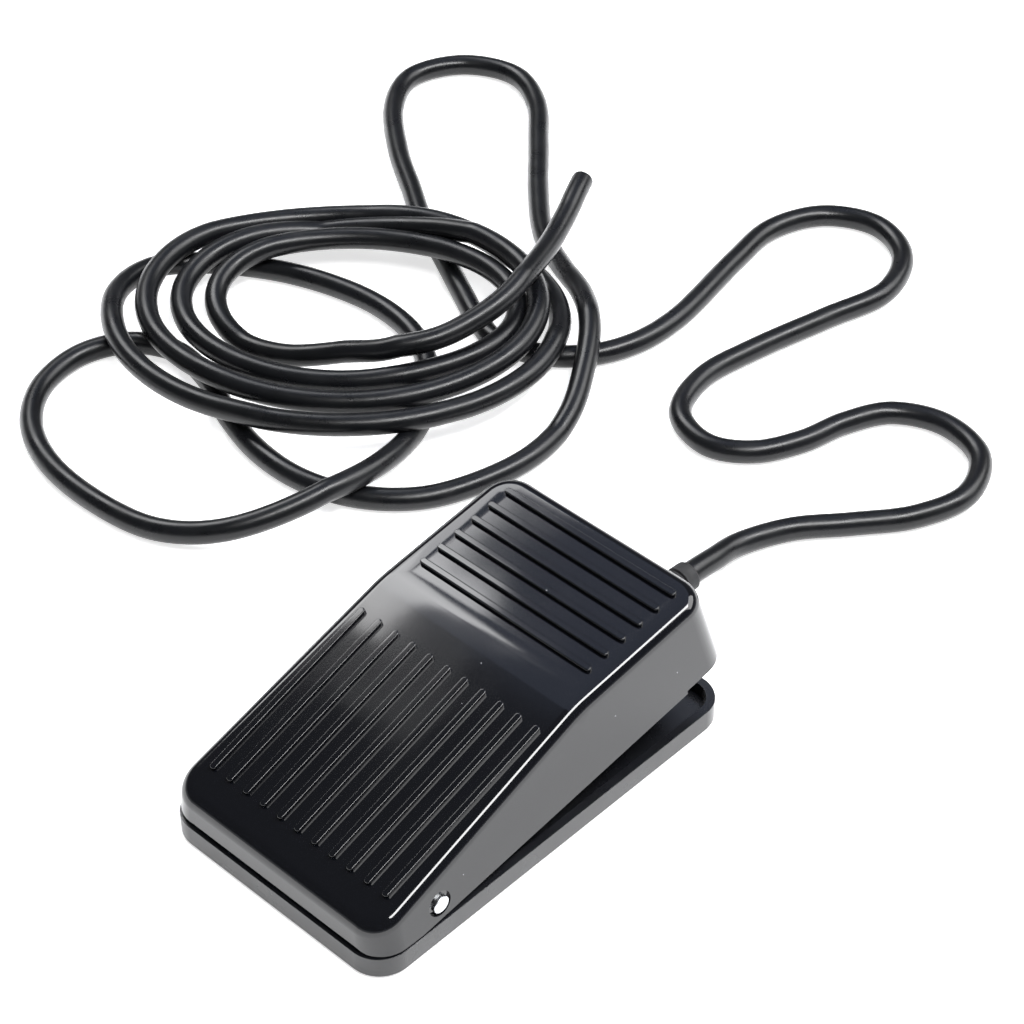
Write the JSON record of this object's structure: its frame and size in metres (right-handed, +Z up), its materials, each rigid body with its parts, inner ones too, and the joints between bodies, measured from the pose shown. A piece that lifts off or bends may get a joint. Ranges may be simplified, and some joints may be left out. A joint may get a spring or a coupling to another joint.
{
  "type": "sewing machine foot pedal",
  "caption": "Sewing machine foot pedal: ribbed hinged cover, sprung over a tray with a lever microswitch, with its cut two-core lead.",
  "frame": {"origin": "on the floor under the middle of the base", "axes": "+X across the pedal, +Y from toe to heel, +Z up"},
  "size_m": [0.2254, 0.2668, 0.0383],
  "materials": {
    "black_abs": "satin moulded ABS",
    "gloss_black_abs": "polished moulded ABS",
    "bright_steel": "bright nickel-plated steel",
    "black_rubber": "moulded rubber",
    "spring_steel": "drawn wire",
    "switch_black": "moulded phenolic",
    "switch_grey": "moulded nylon",
    "switch_red": "moulded button",
    "lever_steel": "cold rolled strip",
    "spring_bronze": "rolled strip",
    "contact_silver": "riveted silver",
    "brass_strip": "stamped brass",
    "screw_steel": "zinc plated",
    "black_pvc": "extruded satin PVC",
    "red_pvc": "extruded PVC",
    "core_black_pvc": "extruded PVC"
  },
  "bodies": {
    "base": {"base_tray": "black_abs", "hinge_pin": "bright_steel", "rubber_feet": "black_rubber", "return_spring": "spring_steel", "switch_case": "switch_black", "switch_cover": "switch_grey", "lever_pin": "bright_steel", "fixed_contacts": "contact_silver", "terminal_common": "brass_strip", "terminal_open": "brass_strip", "terminal_closed": "brass_strip", "switch_screws": "screw_steel", "cord_clamp": "switch_grey", "clamp_screws": "screw_steel", "strain_relief": "black_rubber", "inner_cord": "black_pvc", "core_red_inside": "red_pvc", "core_black_inside": "core_black_pvc", "wire_sleeves": "switch_grey", "cord_lead": "black_pvc", "cord_loop": "black_pvc", "cord_coil": "black_pvc", "cord_tail": "black_pvc", "cut_core_red": "red_pvc", "cut_core_black": "core_black_pvc"},
    "cover": {"pedal_cover": "gloss_black_abs"},
    "lever": {"switch_lever": "lever_steel"},
    "plunger": {"switch_plunger": "switch_red"},
    "blade": {"contact_blade": "spring_bronze", "moving_contact": "contact_silver"}
  },
  "joints": [
    {"name": "pedal_hinge", "type": "hinge", "parent": "base", "child": "cover", "pos_m": [0, -0.035, 0.0111], "axis": [-1, 0, 0], "range_deg": [0, 7.9], "stiffness_Nm_per_rad": 2.5, "springref_deg": -6.88, "deforming": ["return_spring"]},
    {"name": "lever_hinge", "type": "hinge", "parent": "base", "child": "lever", "pos_m": [0, 0.0045, 0.0187], "axis": [1, 0, 0], "range_deg": [0, 14]},
    {"name": "plunger_slide", "type": "slide", "parent": "base", "child": "plunger", "axis": [0, 0, -1], "range_m": [0, 0.0009]},
    {"name": "blade_hinge", "type": "hinge", "parent": "base", "child": "blade", "pos_m": [0, 0.00585, 0.015], "axis": [1, 0, 0], "range_deg": [0, 8.5]}
  ],
  "couplings": [
    {"joint": "lever_hinge", "follows": "pedal_hinge", "ratio": 1.7089},
    {"joint": "plunger_slide", "follows": "pedal_hinge", "m_per_rad": 0.006165},
    {"joint": "blade_hinge", "follows": "pedal_hinge", "ratio": 1.05}
  ]
}
